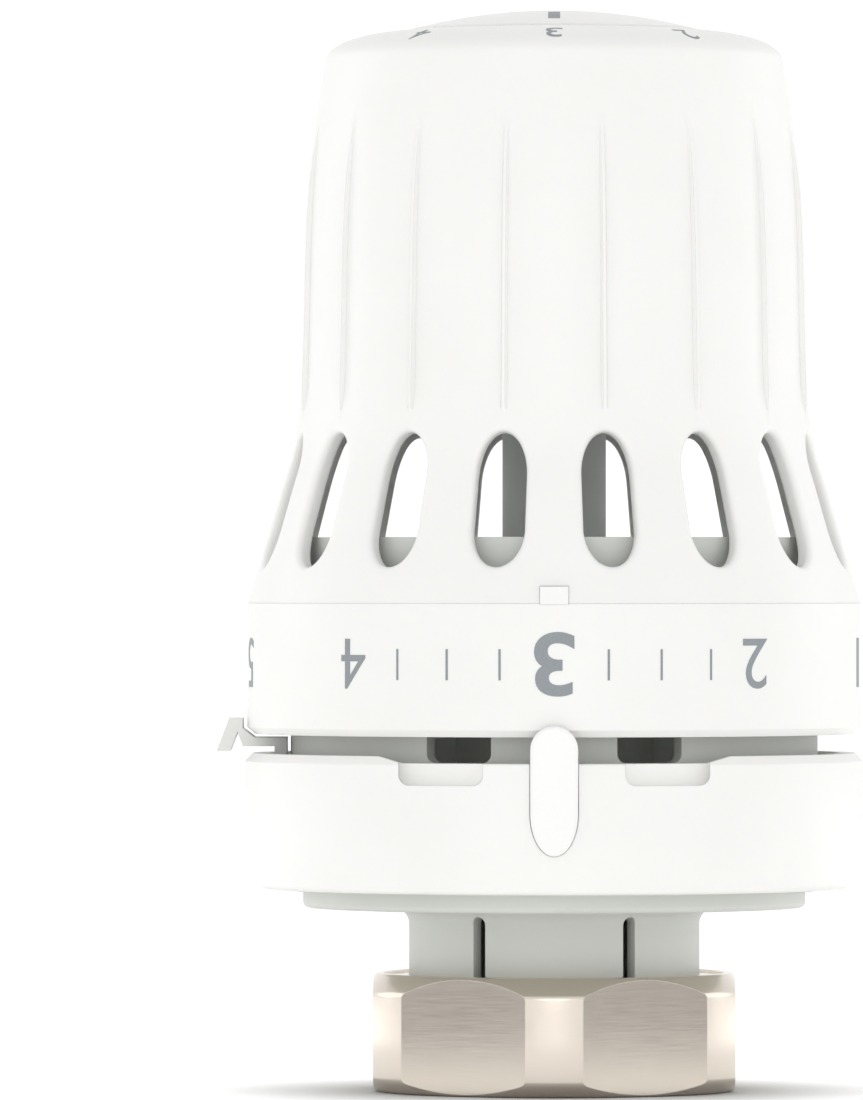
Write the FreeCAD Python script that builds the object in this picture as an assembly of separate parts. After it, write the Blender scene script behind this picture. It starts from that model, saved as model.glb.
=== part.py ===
"""Thermostatic sensor head with an M30 x 1.5 union nut, built as separate pieces.

Frame: origin at the centre of the thread mouth, on the union nut's bottom plane; +Z along the
axis towards the cap; the index pointer faces -Y and the limiter's tab -X.  Millimetres and degrees.
Azimuths are counted from the front (-Y), positive towards +X.
"""
import FreeCAD, Part
import math
import os

V = FreeCAD.Vector

# ---- Union nut and the thread it carries (metric coarse profile) ------------------------------
thread_d = 30.0              # nominal diameter
thread_pitch = 1.5
thread_length = 7.2          # threaded depth from the nut's bottom plane
thread_lead_in = 0.4         # chamfer at the thread's mouth
nut_height = 10.5
nut_wall = 1.0               # from the thread's major diameter to a flat
nut_corner_cut = 1.28        # how much the turned corners lose off the sharp hexagon
nut_chamfer_r = 1.4          # top and bottom chamfers, across and along
nut_chamfer_z = 1.65
nut_chamfer_low_z = 1.1
nut_recess_depth = 0.25      # shallow turned recess round the neck, with a thin rim left outside
nut_recess_rim = 2.1
nut_play = 0.2               # radial and axial running clearance on the neck

# ---- Socket: neck, plate, inner cylinder and threaded hub -------------------------------------
lip_clear = 0.19             # the collet's lips pass through the thread with this much to spare
lip_height = 1.1             # how far the lips stand out from the neck
lip_length = 1.4
neck_wall = 1.3
neck_show = 5.8              # neck length seen between nut and plate
neck_fillet = 1.5
finger_azimuths = (-30.7, 30.7, 105, 180, -105)   # slots between the five fingers
finger_slot = 1.2
finger_slot_stop = 0.6       # solid neck left above the slots, below the plate
plate_t = 1.5
plate_step = 1.1             # the plate is smaller than the inner cylinder
plate_fillet = 0.5
floor_t = 2.2
socket_r = 23.4
socket_wall = 1.8
socket_rise = 5.8            # inner cylinder above the parting line of ring and cap
window_from, window_to = 13.6, 28.3   # azimuths of the two windows either side of the front
window_height = 4.0
window_corner_r = 0.8
ledge_r_add = 1.2            # ledge that carries the limiter ring
ledge_t = 1.0
hub_wall = 2.3
hub_height = 21.5            # above the floor
lug_r = 0.4                  # follower lugs that run between the spindle's thread ridges
lug_drop = 5.0               # lugs below the hub's top
hub_web_t = 1.6
hub_web_drop = 4.0
hub_web_count = 4

# ---- Collar shell, pointer and limiter --------------------------------------------------------
seat_gap = 0.2               # plain gap between faces that only locate each other
fit_gap = 0.05               # snap-fit gap within one body
collar_height = 12.0
collar_bevel = 0.7
collar_over_ring = 0.2       # the collar's widest radius, over the scale ring's
collar_draft = 1.15          # how much narrower its foot is
collar_inner_gap = 1.8       # annular room between inner cylinder and shell
collar_web_t = 1.5
front_drop = 0.6             # the rim is cut lower in front
front_azimuth = 28.74        # where the lowered rim ends, either side
front_slope = 2.1
notch_from, notch_to = 13.0, 29.5     # azimuths of the two notches in the lowered rim
notch_depth = 1.9
notch_back_t = 1.0           # wall left behind each notch
notch_corner_r = 0.9
pointer_width = 4.16
pointer_below_rim = 8.6
pointer_above_rim = 2.7
pointer_toe = 3.7            # length of its elliptical lower end
pointer_proud = 1.1          # past the scale ring's radius
limiter_t = 1.2
limiter_width = 5.0
limiter_arm_t = 0.8
limiter_gap = 0.3            # clearance to the pieces that turn past it
limiter_hook_rise = 2.0
limiter_hook_t = 1.0
limiter_hook_spread = 1.3

# ---- Handwheel: scale ring and cap ------------------------------------------------------------
ring_gap = 1.7               # open gap between collar and scale ring
ring_height = 11.6
ring_wall = 2.3
ring_chamfer_r, ring_chamfer_z = 0.7, 0.6
key_width, key_height = 2.5, 1.5
key_proud = 0.1
skirt_clear = 0.3            # running clearance of the handwheel's skirt on the inner cylinder
skirt_wall = 1.2
skirt_rise = 0.8             # skirt's end above the ring's lower edge
retainer_t = 1.0
retainer_bite = 0.6          # depth of the retaining ring's groove
retainer_gap = 3.0           # split in the ring
cap_height = 50.9            # parting line to the raised disc's edge
cap_wall = 1.7
flare_height, flare_inset = 10.0, 2.95
waist_height, waist_inset = 18.0, 4.6
grip_drop, grip_inset = 15.1, 5.15    # drops are counted down from the cap's top
shoulder_drop, shoulder_inset = 2.6, 6.85
dome_inset, dome_drop = 7.8, 1.6
slot_count = 16
slot_width = 4.4
slot_low, slot_high = 2.9, 14.9       # above the parting line
rib_width, rib_proud = 0.9, 0.25
rib_low = 16.2               # above the parting line
rib_drop = 8.2
disc_r = 12.9
disc_rise = 1.7              # crown of the raised disc over its edge
disc_t = 1.0
disc_spigot_r = 5.0
rail_count = 4
rail_t = 1.2
rail_depth = 1.7             # free room between holder and cap wall that the rails bridge
rail_length = 11.6

# ---- Setting unit: threaded spindle, holder and liquid-filled capsule --------------------------
screw_lead = 8.0             # four-start thread, right hand
screw_starts = 4
screw_root_r = 9.7           # radius of the threaded drum between its ridges
screw_depth = 0.8
screw_root, screw_crest = 0.5, 0.3    # ridge widths, as shares of the thread's pitch
screw_clear = 0.25
screw_sink = 0.3             # the ridges start this far inside the drum, to join it
drum_wall = 1.4
drum_length = 16.0
drum_above_hub = 4.0
drum_top_t = 1.8
stem_r = 4.6
stem_bore_r = 2.4
holder_lift = 3.3            # holder's underside above the top of the cap's slots, at rest
holder_t = 1.8
holder_rim_t = 1.3
holder_rim_height = 4.7
tab_width, tab_height, tab_reach = 3.0, 4.5, 1.4
capsule_foot_t = 1.0
capsule_inset = 0.95         # can's wall inside its flange
capsule_wall = 0.5
capsule_headroom = 3.1       # free travel between the can and the cap's ceiling
capsule_dome_r = 3.0
clamp_t = 1.2
plug_r, plug_height = 1.4, 1.3

# ---- Transmission: bellows, pin and overtravel device -----------------------------------------
bellows_r, bellows_inner_r = 11.5, 8.5
bellows_wall = 0.35
bellows_turns = 9
bellows_headroom = 5.5       # free height of the can above the bellows
bellows_cap_t = 1.2
pin_r = 1.9
pin_boss_r, pin_boss_length = 3.4, 3.0
sleeve_clear = 0.4           # sleeve to the inside of the drum
sleeve_wall = 1.0
sleeve_length = 16.6
sleeve_top_t = 1.4
sleeve_headroom = 1.6        # sleeve's top below the drum's ceiling at rest
clip_t = 0.7
clip_bite = 0.4
clip_lift = 0.85             # clip above the sleeve's open end
pusher_collar_t = 1.8
pusher_step = 2.3            # pusher's stem is this much smaller than the sleeve's bore
pusher_drop = 3.6            # pusher's working face below the sleeve's end
pusher_nose_length = 3.5
spring_wire, spring_turns = 1.3, 5
spring_side_gap = 0.85       # spring to the sleeve's bore
spring_nose_gap = 1.55       # spring to the pusher's nose

# ---- Derived sizes ----------------------------------------------------------------------------
thread_major_r = thread_d / 2
thread_minor_r = thread_major_r - 5 / 16 * math.sqrt(3) * thread_pitch
nut_flat_r = thread_major_r + nut_wall
nut_corner_r = nut_flat_r / math.cos(math.radians(30)) - nut_corner_cut
lip_r = thread_minor_r - lip_clear
neck_r = lip_r - lip_height
neck_bore_r = neck_r - neck_wall
lip_z = thread_length + nut_play
lip_top = lip_z + lip_length
nut_pocket_r = lip_r + 3 * nut_play

plate_z = nut_height + neck_show
floor_z = plate_z + floor_t
wall_z = plate_z + plate_t
collar_z = wall_z + seat_gap
rim_z = collar_z + collar_height
ring_z = rim_z + ring_gap
parting_z = ring_z + ring_height
socket_top = parting_z + socket_rise
socket_inner_r = socket_r - socket_wall

skirt_r = socket_r + skirt_clear
skirt_outer_r = skirt_r + skirt_wall
skirt_z = ring_z + skirt_rise
ring_inner_r = skirt_outer_r + fit_gap
ring_r = ring_inner_r + ring_wall
collar_r = ring_r + collar_over_ring
collar_foot_r = collar_r - collar_draft
collar_inner_r = socket_r + collar_inner_gap
front_half_width = collar_r * math.sin(math.radians(front_azimuth))
pointer_r = ring_r + pointer_proud
front_z = rim_z - front_drop
notch_z = front_z - notch_depth

cap_foot_r = ring_r - fit_gap
cap_top = parting_z + cap_height
rib_top = cap_top - rib_drop
web_top = parting_z + 1.0
retainer_z = web_top + seat_gap
slot_top = parting_z + slot_high
grip_inner_r = cap_foot_r - grip_inset - cap_wall
ceiling_z = cap_top - disc_t - cap_wall

hub_top = floor_z + hub_height
drum_crest_r = screw_root_r + screw_depth
drum_inner_r = screw_root_r - drum_wall
hub_bore_r = drum_crest_r + screw_clear
hub_r = hub_bore_r + hub_wall
screw_pitch = screw_lead / screw_starts
drum_top = hub_top + drum_above_hub
drum_z = drum_top - drum_length
holder_z = slot_top + holder_lift
holder_r = grip_inner_r - rail_depth
holder_top = holder_z + holder_t
capsule_flange_r = holder_r - holder_rim_t - seat_gap
capsule_r = capsule_flange_r - capsule_inset
capsule_z = holder_top + fit_gap
can_z = capsule_z + capsule_foot_t + fit_gap
clamp_z = can_z + capsule_foot_t + fit_gap
capsule_height = ceiling_z - can_z - capsule_headroom

bellows_z = can_z
bellows_length = capsule_height - bellows_headroom
bellows_top = bellows_z + bellows_length
sleeve_top = drum_top - drum_top_t - sleeve_headroom
sleeve_z = sleeve_top - sleeve_length
sleeve_r = drum_inner_r - sleeve_clear
sleeve_inner_r = sleeve_r - sleeve_wall
pusher_r = sleeve_inner_r - pusher_step
spring_r = sleeve_inner_r - spring_side_gap - spring_wire / 2
pusher_nose_r = spring_r - spring_wire / 2 - spring_nose_gap
clip_z = sleeve_z + clip_lift
collar_bottom = clip_z + clip_t + fit_gap
collar_top = collar_bottom + pusher_collar_t
pusher_face = sleeve_z - pusher_drop
spring_top = sleeve_top - sleeve_top_t


# ---- Helpers ----------------------------------------------------------------------------------
def turned(shape, azimuth):
    """Copy of a shape made at +X, turned to an azimuth."""
    copy = shape.copy()
    copy.rotate(V(0, 0, 0), V(0, 0, 1), azimuth - 90)
    return copy


def disc(r, z, height):
    return Part.makeCylinder(r, height, V(0, 0, z))


def tube(r_outer, r_inner, z, height):
    return disc(r_outer, z, height).cut(disc(r_inner, z, height))


def block(x0, x1, width, z0, z1):
    """Box from x0 to x1, centred on the X axis."""
    return Part.makeBox(x1 - x0, width, z1 - z0, V(x0, -width / 2, z0))


def chain(points):
    """Straight edges through (r, z) points."""
    nodes = [V(r, 0, z) for r, z in points]
    return [Part.LineSegment(a, b).toShape() for a, b in zip(nodes, nodes[1:])]


def lathe(edges):
    """Solid turned about Z from a closed run of edges in the XZ plane."""
    face = Part.Face(Part.Wire(edges))
    return Part.makeSolid(face.revolve(V(0, 0, 0), V(0, 0, 1), 360))


def lathe_points(points):
    return lathe(chain(points + [points[0]]))


def smooth(points):
    """Smooth edge through (r, z) points."""
    curve = Part.BSplineCurve()
    curve.interpolate([V(r, 0, z) for r, z in points])
    return curve.toShape()


def prism(edges, direction):
    return Part.Face(Part.Wire(edges)).extrude(direction)


def polygon_prism(points, depth):
    """Closed outline of (x, z) points, from y = 0 to y = depth."""
    nodes = [V(x, 0, z) for x, z in points]
    return prism(Part.makePolygon(nodes + [nodes[0]]).Edges, V(0, depth, 0))


def fused(shapes):
    """One solid from pieces that share faces or overlap."""
    return shapes[0].multiFuse(shapes[1:]).removeSplitter()


def helical_ridge(r_in, r_out, root, crest, z0, length, starts, lead):
    """Trapezoidal right-hand thread ridges between two radii, as solids."""
    ridges = []
    for start in range(starts):
        path = Part.makeHelix(lead, length, r_in)
        outline = [(r_in, -root / 2), (r_out, -crest / 2), (r_out, crest / 2), (r_in, root / 2)]
        nodes = [V(r, 0, z) for r, z in outline]
        profile = Part.makePolygon(nodes + [nodes[0]])
        ridge = Part.Wire(path).makePipeShell([profile], True, True)
        ridge.translate(V(0, 0, z0))
        ridges.append(turned(ridge, 90 + 360 * start / starts))
    return ridges


def split_ring(r_outer, r_inner, z, height, gap, azimuth):
    """Snap ring with a straight split."""
    ring = tube(r_outer, r_inner, z, height)
    return ring.cut(turned(block(0, 2 * r_outer, gap, z - 1, z + height + 1), azimuth))


# ---- Union nut --------------------------------------------------------------------------------
def union_nut():
    blank = lathe_points([
        (0, 0), (nut_corner_r - nut_chamfer_r, 0), (nut_corner_r, nut_chamfer_low_z),
        (nut_corner_r, nut_height - nut_chamfer_z), (nut_corner_r - nut_chamfer_r, nut_height),
        (0, nut_height)])
    across = 2 * nut_corner_r
    for side in range(6):
        waste = block(nut_flat_r, across, 2 * across, -1, nut_height + 1)
        blank = blank.cut(turned(waste, 30 + 60 * side))
    bore = lathe_points([
        (0, -1), (thread_minor_r + thread_lead_in, -1), (thread_minor_r + thread_lead_in, 0),
        (thread_minor_r, thread_lead_in), (thread_minor_r, thread_length),
        (nut_pocket_r, thread_length), (nut_pocket_r, lip_top + nut_play),
        (neck_r + nut_play, lip_top + nut_play), (neck_r + nut_play, nut_height - nut_recess_depth),
        (nut_corner_r - nut_recess_rim, nut_height - nut_recess_depth),
        (nut_corner_r - nut_recess_rim, nut_height + 1), (0, nut_height + 1)])
    return blank.cut(bore)


# ---- Base: socket, collar shell, pointer, retaining ring --------------------------------------
def socket_body():
    edges = chain([
        (neck_bore_r, lip_z), (lip_r, lip_z), (lip_r, lip_top), (neck_r, lip_top),
        (neck_r, plate_z - neck_fillet)])
    edges += [fillet_edge(neck_r, plate_z, neck_fillet)]
    edges += chain([
        (neck_r + neck_fillet, plate_z), (socket_r - plate_step - plate_fillet, plate_z)])
    edges += [round_edge(socket_r - plate_step, plate_z, plate_fillet)]
    edges += chain([
        (socket_r - plate_step, plate_z + plate_fillet), (socket_r - plate_step, wall_z),
        (socket_r, wall_z), (socket_r, limiter_ring_z() - limiter_gap - ledge_t),
        (socket_r + ledge_r_add, limiter_ring_z() - limiter_gap - ledge_t),
        (socket_r + ledge_r_add, limiter_ring_z() - limiter_gap),
        (socket_r, limiter_ring_z() - limiter_gap), (socket_r, retainer_z),
        (socket_r - retainer_bite, retainer_z),
        (socket_r - retainer_bite, retainer_z + retainer_t + fit_gap),
        (socket_r, retainer_z + retainer_t + fit_gap), (socket_r, socket_top),
        (socket_inner_r, socket_top), (socket_inner_r, floor_z), (neck_bore_r, floor_z),
        (neck_bore_r, lip_z)])
    body = lathe(edges)

    webs = [
        turned(block(hub_r - hub_wall / 2, socket_inner_r + seat_gap, hub_web_t,
                     floor_z - seat_gap, hub_top - hub_web_drop), 45 + 360 * i / hub_web_count)
        for i in range(hub_web_count)]
    hub = tube(hub_r, hub_bore_r, floor_z - seat_gap, hub_height + seat_gap)
    lug_z = drum_z + screw_pitch * (math.floor((hub_top - lug_drop - drum_z) / screw_pitch) + 0.5)
    lug = Part.makeCylinder(lug_r, hub_wall + screw_depth, V(screw_root_r + screw_clear, 0, lug_z),
                            V(1, 0, 0))
    lugs = [turned(lug, 90 + 360 * i / screw_starts) for i in range(screw_starts)]
    body = fused([body, hub] + webs + lugs)

    slot_end = plate_z - finger_slot_stop - finger_slot / 2
    for azimuth in finger_azimuths:
        slot = block(0, lip_r + 1, finger_slot, lip_z - 1, slot_end)
        crown = Part.makeCylinder(finger_slot / 2, lip_r + 1, V(0, 0, slot_end), V(1, 0, 0))
        body = body.cut(turned(slot.fuse(crown), azimuth))

    middle = (window_from + window_to) / 2
    width = 2 * socket_r * math.sin(math.radians((window_to - window_from) / 2))
    for side in (-1, 1):
        opening = block(socket_inner_r - 2, socket_r + 2, width, front_z, front_z + window_height)
        lower = [e for e in opening.Edges
                 if abs(e.CenterOfMass.z - front_z) < 1e-6 and abs(e.CenterOfMass.y) > 1e-6]
        opening = opening.makeFillet(window_corner_r, lower)
        body = body.cut(turned(opening, side * middle))
    return body


def limiter_ring_z():
    """Underside of the limiter ring, hidden below the collar's notches."""
    return notch_z - limiter_gap - limiter_t


def fillet_edge(r, z, radius):
    """Quarter arc that blends a wall at r into a face at z above it."""
    c = math.cos(math.radians(45)) * radius
    return Part.Arc(V(r, 0, z - radius), V(r + radius - c, 0, z - radius + c),
                    V(r + radius, 0, z)).toShape()


def round_edge(r, z, radius):
    """Quarter arc that rounds the outer lower corner at (r, z)."""
    c = math.cos(math.radians(45)) * radius
    return Part.Arc(V(r - radius, 0, z), V(r - radius + c, 0, z + radius - c),
                    V(r, 0, z + radius)).toShape()


def pointer_outline(grow):
    """Closed outline of the pointer in the XZ plane, grown by a clearance."""
    half = pointer_width / 2 + grow
    top = rim_z + pointer_above_rim + grow - half
    foot = rim_z - pointer_below_rim + pointer_toe
    toe = pointer_toe + grow
    crown = Part.Arc(V(half, 0, top), V(0, 0, top + half), V(-half, 0, top)).toShape()
    oval = Part.Ellipse(V(0, 0, foot - toe), V(half, 0, foot), V(0, 0, foot))
    first = oval.parameter(V(-half, 0, foot))
    last = oval.parameter(V(half, 0, foot))
    ends = sorted((first, last))
    lower = oval.toShape(ends[0], ends[1])
    if lower.valueAt((ends[0] + ends[1]) / 2).z > foot:
        lower = oval.toShape(ends[1], ends[0] + 2 * math.pi)
    sides = [Part.LineSegment(V(-half, 0, top), V(-half, 0, foot)).toShape(),
             Part.LineSegment(V(half, 0, foot), V(half, 0, top)).toShape()]
    return Part.__sortEdges__([crown, lower] + sides)


def base_shell():
    bulge = (collar_r + collar_foot_r) / 2 + 0.35 * collar_draft
    foot_fillet = 0.6
    outer = smooth([
        (collar_foot_r, collar_z + foot_fillet), (bulge, collar_z + 0.45 * collar_height),
        (collar_r, rim_z - collar_bevel)])
    edges = [outer] + chain([
        (collar_r, rim_z - collar_bevel), (collar_r - collar_bevel, rim_z),
        (collar_inner_r, rim_z), (collar_inner_r, collar_z + collar_web_t),
        (socket_r + fit_gap, collar_z + collar_web_t), (socket_r + fit_gap, collar_z),
        (collar_foot_r - foot_fillet, collar_z)])
    edges.append(round_edge(collar_foot_r, collar_z, foot_fillet))
    shell = lathe(edges)

    slope_x = front_half_width + front_slope * 1.2
    slope_z = rim_z + 0.2 * front_drop
    front = [(-slope_x, slope_z), (-slope_x, rim_z + 5), (slope_x, rim_z + 5), (slope_x, slope_z),
             (front_half_width, front_z), (-front_half_width, front_z)]
    shell = shell.cut(polygon_prism(front, -2 * collar_r))
    for side in (-1, 1):
        low_x = collar_r * math.sin(math.radians(notch_from))
        high_x = collar_r * math.sin(math.radians(notch_to))
        notch = Part.makeBox(high_x - low_x, 2 * collar_r, collar_height,
                             V(low_x, -2 * collar_r, notch_z))
        lower = [e for e in notch.Edges
                 if abs(e.CenterOfMass.z - notch_z) < 1e-6
                 and abs(e.CenterOfMass.y + collar_r) < 1e-6]
        notch = notch.makeFillet(notch_corner_r, lower)
        if side < 0:
            notch = notch.mirror(V(0, 0, 0), V(1, 0, 0))
        shell = shell.cut(notch.cut(disc(collar_inner_r + notch_back_t, 0, rim_z)))
    return shell.cut(prism(pointer_outline(fit_gap), V(0, -2 * collar_r, 0)))


def index_pointer():
    bar = prism(pointer_outline(0), V(0, -2 * collar_r, 0))
    low = tube(pointer_r, collar_inner_r + fit_gap, 0, front_z)
    high = tube(pointer_r, ring_r + limiter_gap, front_z, collar_height)
    pointer = bar.common(low.fuse(high).removeSplitter())
    front_edges = [e for e in pointer.Edges
                   if all(abs(math.hypot(v.X, v.Y) - pointer_r) < 1e-4 for v in e.Vertexes)
                   and abs(math.hypot(e.valueAt(e.FirstParameter).x, e.valueAt(e.FirstParameter).y)
                           - pointer_r) < 1e-4]
    return pointer.makeFillet(0.3, front_edges)


def retaining_ring():
    return split_ring(socket_r + skirt_wall - 0.2, socket_r - retainer_bite + fit_gap,
                      retainer_z + fit_gap / 2, retainer_t, retainer_gap, 180)


def limiter_ring():
    """Turnable ring under the collar's rim with a hooked tab outside the handwheel."""
    z = limiter_ring_z()
    inner = socket_r + limiter_gap
    outer = collar_inner_r - limiter_gap
    arm_top = ring_z - limiter_gap
    arm_z = arm_top - limiter_arm_t
    ring = tube(outer, inner, z, limiter_t)
    reach = ring_r + 1.2 * limiter_gap
    crest = ring_z + limiter_hook_rise - 0.6
    tip = reach + limiter_hook_t + limiter_hook_spread
    profile = [
        (inner, z), (outer - 0.1, z), (outer - 0.1, arm_z), (reach, arm_z),
        (reach + limiter_hook_t * 0.45, crest - 1.2 * limiter_hook_t), (tip - 1.2, rim_z + 0.2),
        (tip, rim_z + 0.2), (reach + limiter_hook_t * 1.2, crest), (reach, crest),
        (reach, ring_z + ring_chamfer_z - 0.1), (ring_r - ring_chamfer_r, arm_top), (inner, arm_top)]
    arm = polygon_prism(profile, limiter_width)
    arm.translate(V(0, -limiter_width / 2, 0))
    arm = arm.cut(disc(inner, z - 1, arm_top - z + 2))
    return fused([ring, turned(arm, -90)])


# ---- Handwheel --------------------------------------------------------------------------------
def cap_outline(inset):
    """Smooth side of the cap from the parting line to the shoulder, moved in by a wall."""
    return [(cap_foot_r - inset, parting_z),
            (cap_foot_r - flare_inset - inset, parting_z + flare_height),
            (cap_foot_r - waist_inset - inset, parting_z + waist_height),
            (cap_foot_r - grip_inset - inset, cap_top - grip_drop),
            (cap_foot_r - shoulder_inset - inset, cap_top - shoulder_drop)]


def handwheel_cap():
    dome_r = cap_foot_r - dome_inset
    dome_z = cap_top - dome_drop
    side = cap_outline(0)
    edges = [smooth(side), smooth([side[-1], (side[-1][0] - 0.25, side[-1][1] + 0.55),
                                   (dome_r, dome_z)]),
             smooth([(dome_r, dome_z), ((dome_r + disc_r) / 2, cap_top - 0.3 * dome_drop),
                     (disc_r + fit_gap, cap_top)])]
    edges += chain([
        (disc_r + fit_gap, cap_top), (disc_r + fit_gap, cap_top - disc_t),
        (disc_spigot_r + fit_gap, cap_top - disc_t), (disc_spigot_r + fit_gap, ceiling_z),
        (0.82 * disc_r + 0.18 * grip_inner_r, ceiling_z)])
    wall = cap_outline(cap_wall)
    knee = (wall[-1][0], wall[-1][1] - 2.2)
    edges += chain([(0.82 * disc_r + 0.18 * grip_inner_r, ceiling_z), knee])
    inner_foot = (wall[0][0], web_top)
    edges.append(smooth([inner_foot] + wall[1:-1] + [knee]))
    edges += chain([inner_foot, (skirt_r, web_top), (skirt_r, skirt_z), (skirt_outer_r, skirt_z),
                    (skirt_outer_r, parting_z), (cap_foot_r, parting_z)])
    cap = lathe(Part.__sortEdges__(edges))

    slot_mid = parting_z + (slot_low + slot_high) / 2
    slot_half = (slot_high - slot_low) / 2
    straight = slot_half - 0.8 * slot_width
    ends = []
    for way in (-1, 1):
        centre_z = slot_mid + way * straight
        oval = Part.Ellipse(V(0, 0, slot_mid + way * slot_half), V(0, slot_width / 2, centre_z),
                            V(0, 0, centre_z)).toShape()
        ends.append(prism([oval], V(2 * cap_foot_r, 0, 0)))
    middle = block(0, 2 * cap_foot_r, slot_width, slot_mid - straight, slot_mid + straight)
    slot = fused([middle] + ends).cut(disc(skirt_outer_r - 4.5, 0, cap_top))
    step = 360 / slot_count
    cap = cap.cut(Part.makeCompound([turned(slot, (i + 0.5) * step) for i in range(slot_count)]))

    blade = polygon_prism(
        [(grip_inner_r + 0.3 * cap_wall, parting_z + rib_low),
         (cap_foot_r - waist_inset + 2, parting_z + rib_low),
         (cap_foot_r - waist_inset + 2, rib_top),
         (grip_inner_r + 0.3 * cap_wall, rib_top)], rib_width)
    blade.translate(V(0, -rib_width / 2, 0))
    skin = [(r + rib_proud, z) for r, z in side]
    skin = lathe([smooth(skin)] + chain([skin[-1], (0, skin[-1][1]), (0, parting_z), skin[0]]))
    blade = blade.common(skin)
    ribs = [turned(blade, (i + 0.5) * step) for i in range(slot_count)]

    lane = tab_width / 2 + limiter_gap / 2
    rails = []
    for i in range(rail_count):
        for way in (-1, 1):
            rail = block(holder_r + limiter_gap, grip_inner_r + cap_wall / 2, rail_t,
                         slot_top + 0.3, slot_top + 0.3 + rail_length)
            rail.translate(V(0, way * (lane + rail_t / 2), 0))
            rails.append(turned(rail, 45 + 360 * i / rail_count))
    cap = fused([cap] + ribs + rails)
    notch = block(skirt_outer_r - 0.6, cap_foot_r + 2, key_width + 2 * fit_gap,
                  parting_z, parting_z + key_height + fit_gap)
    return cap.cut(turned(notch, 0))


def scale_ring():
    ring = lathe_points([
        (ring_inner_r, ring_z), (ring_r - ring_chamfer_r, ring_z), (ring_r, ring_z + ring_chamfer_z),
        (ring_r, parting_z), (ring_inner_r, parting_z)])
    key = block(skirt_outer_r - 0.5, ring_r + 1, key_width, parting_z - 0.1, parting_z + key_height)
    key = key.common(disc(ring_r + key_proud, ring_z, cap_height))
    key = key.cut(disc(ring_inner_r, ring_z, parting_z - ring_z))
    return fused([ring, turned(key, 0)])


def top_disc():
    middle = (disc_r ** 2 + disc_rise ** 2) / (2 * disc_rise)
    half = disc_r / 2
    crown_z = cap_top + math.sqrt(middle ** 2 - half ** 2) - (middle - disc_rise)
    crown = Part.Arc(V(disc_r, 0, cap_top), V(half, 0, crown_z),
                     V(0, 0, cap_top + disc_rise)).toShape()
    edges = [crown] + chain([
        (0, cap_top + disc_rise), (0, ceiling_z), (disc_spigot_r, ceiling_z),
        (disc_spigot_r, cap_top - disc_t), (disc_r, cap_top - disc_t), (disc_r, cap_top)])
    return lathe(edges)


# ---- Setting unit -----------------------------------------------------------------------------
def setting_spindle():
    drum = lathe_points([
        (drum_inner_r, drum_z), (screw_root_r, drum_z), (screw_root_r, drum_top),
        (stem_r, drum_top), (stem_r, holder_z), (stem_r - 0.8, holder_z),
        (stem_r - 0.8, holder_top), (stem_bore_r, holder_top), (stem_bore_r, drum_top - drum_top_t),
        (drum_inner_r, drum_top - drum_top_t)])
    ridges = helical_ridge(screw_root_r - screw_sink, drum_crest_r, screw_pitch * screw_root,
                           screw_pitch * screw_crest, drum_z + screw_pitch,
                           drum_length - 3 * screw_pitch, screw_starts, screw_lead)
    return fused([drum] + ridges)


def capsule_holder():
    cup = lathe_points([
        (stem_r - 0.8 + fit_gap / 2, holder_z), (holder_r, holder_z),
        (holder_r, holder_top + holder_rim_height),
        (holder_r - holder_rim_t, holder_top + holder_rim_height),
        (holder_r - holder_rim_t, holder_top), (stem_r - 0.8 + fit_gap / 2, holder_top)])
    tabs = [turned(block(holder_r - 0.5, holder_r + tab_reach, tab_width, holder_z,
                         holder_z + tab_height), 45 + 360 * i / rail_count)
            for i in range(rail_count)]
    return fused([cup] + tabs)


def capsule_base():
    return tube(capsule_flange_r, stem_bore_r + 0.4, capsule_z, capsule_foot_t)


def capsule_can():
    top = can_z + capsule_height
    corner = capsule_dome_r
    bend = corner * math.cos(math.radians(45))
    thin = corner - capsule_wall
    bend_in = thin * math.cos(math.radians(45))
    centre = V(capsule_r - corner, 0, top - corner)
    outer = Part.Arc(V(capsule_r, 0, top - corner), centre + V(bend, 0, bend),
                     V(capsule_r - corner, 0, top)).toShape()
    inner = Part.Arc(V(capsule_r - corner, 0, top - capsule_wall), centre + V(bend_in, 0, bend_in),
                     V(capsule_r - capsule_wall, 0, top - corner)).toShape()
    edges = [outer, inner] + chain([
        (capsule_r - corner, top), (plug_r * 0.6, top)]) + chain([
            (plug_r * 0.6, top), (plug_r * 0.6, top - capsule_wall),
            (capsule_r - corner, top - capsule_wall)]) + chain([
                (capsule_r - capsule_wall, top - corner), (capsule_r - capsule_wall, can_z),
                (capsule_flange_r, can_z), (capsule_flange_r, can_z + capsule_foot_t),
                (capsule_r, can_z + capsule_foot_t), (capsule_r, top - corner)])
    return lathe(Part.__sortEdges__(edges))


def capsule_clamp():
    return split_ring(capsule_flange_r, capsule_r + seat_gap, clamp_z, clamp_t, retainer_gap, 180)


def fill_plug():
    top = can_z + capsule_height
    return lathe_points([
        (0, top - capsule_wall), (plug_r * 0.6 - fit_gap, top - capsule_wall),
        (plug_r * 0.6 - fit_gap, top + fit_gap), (plug_r, top + fit_gap),
        (plug_r * 0.85, top + plug_height), (0, top + plug_height)])


# ---- Transmission and pusher ------------------------------------------------------------------
def bellows():
    step = bellows_length / (2 * bellows_turns)
    outer, inner = [], []
    for i in range(2 * bellows_turns + 1):
        r = bellows_r if i % 2 else bellows_inner_r + bellows_wall
        outer.append((r, bellows_z + i * step))
        inner.append((r - bellows_wall, bellows_z + i * step))
    return lathe_points(outer + inner[::-1])


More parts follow.
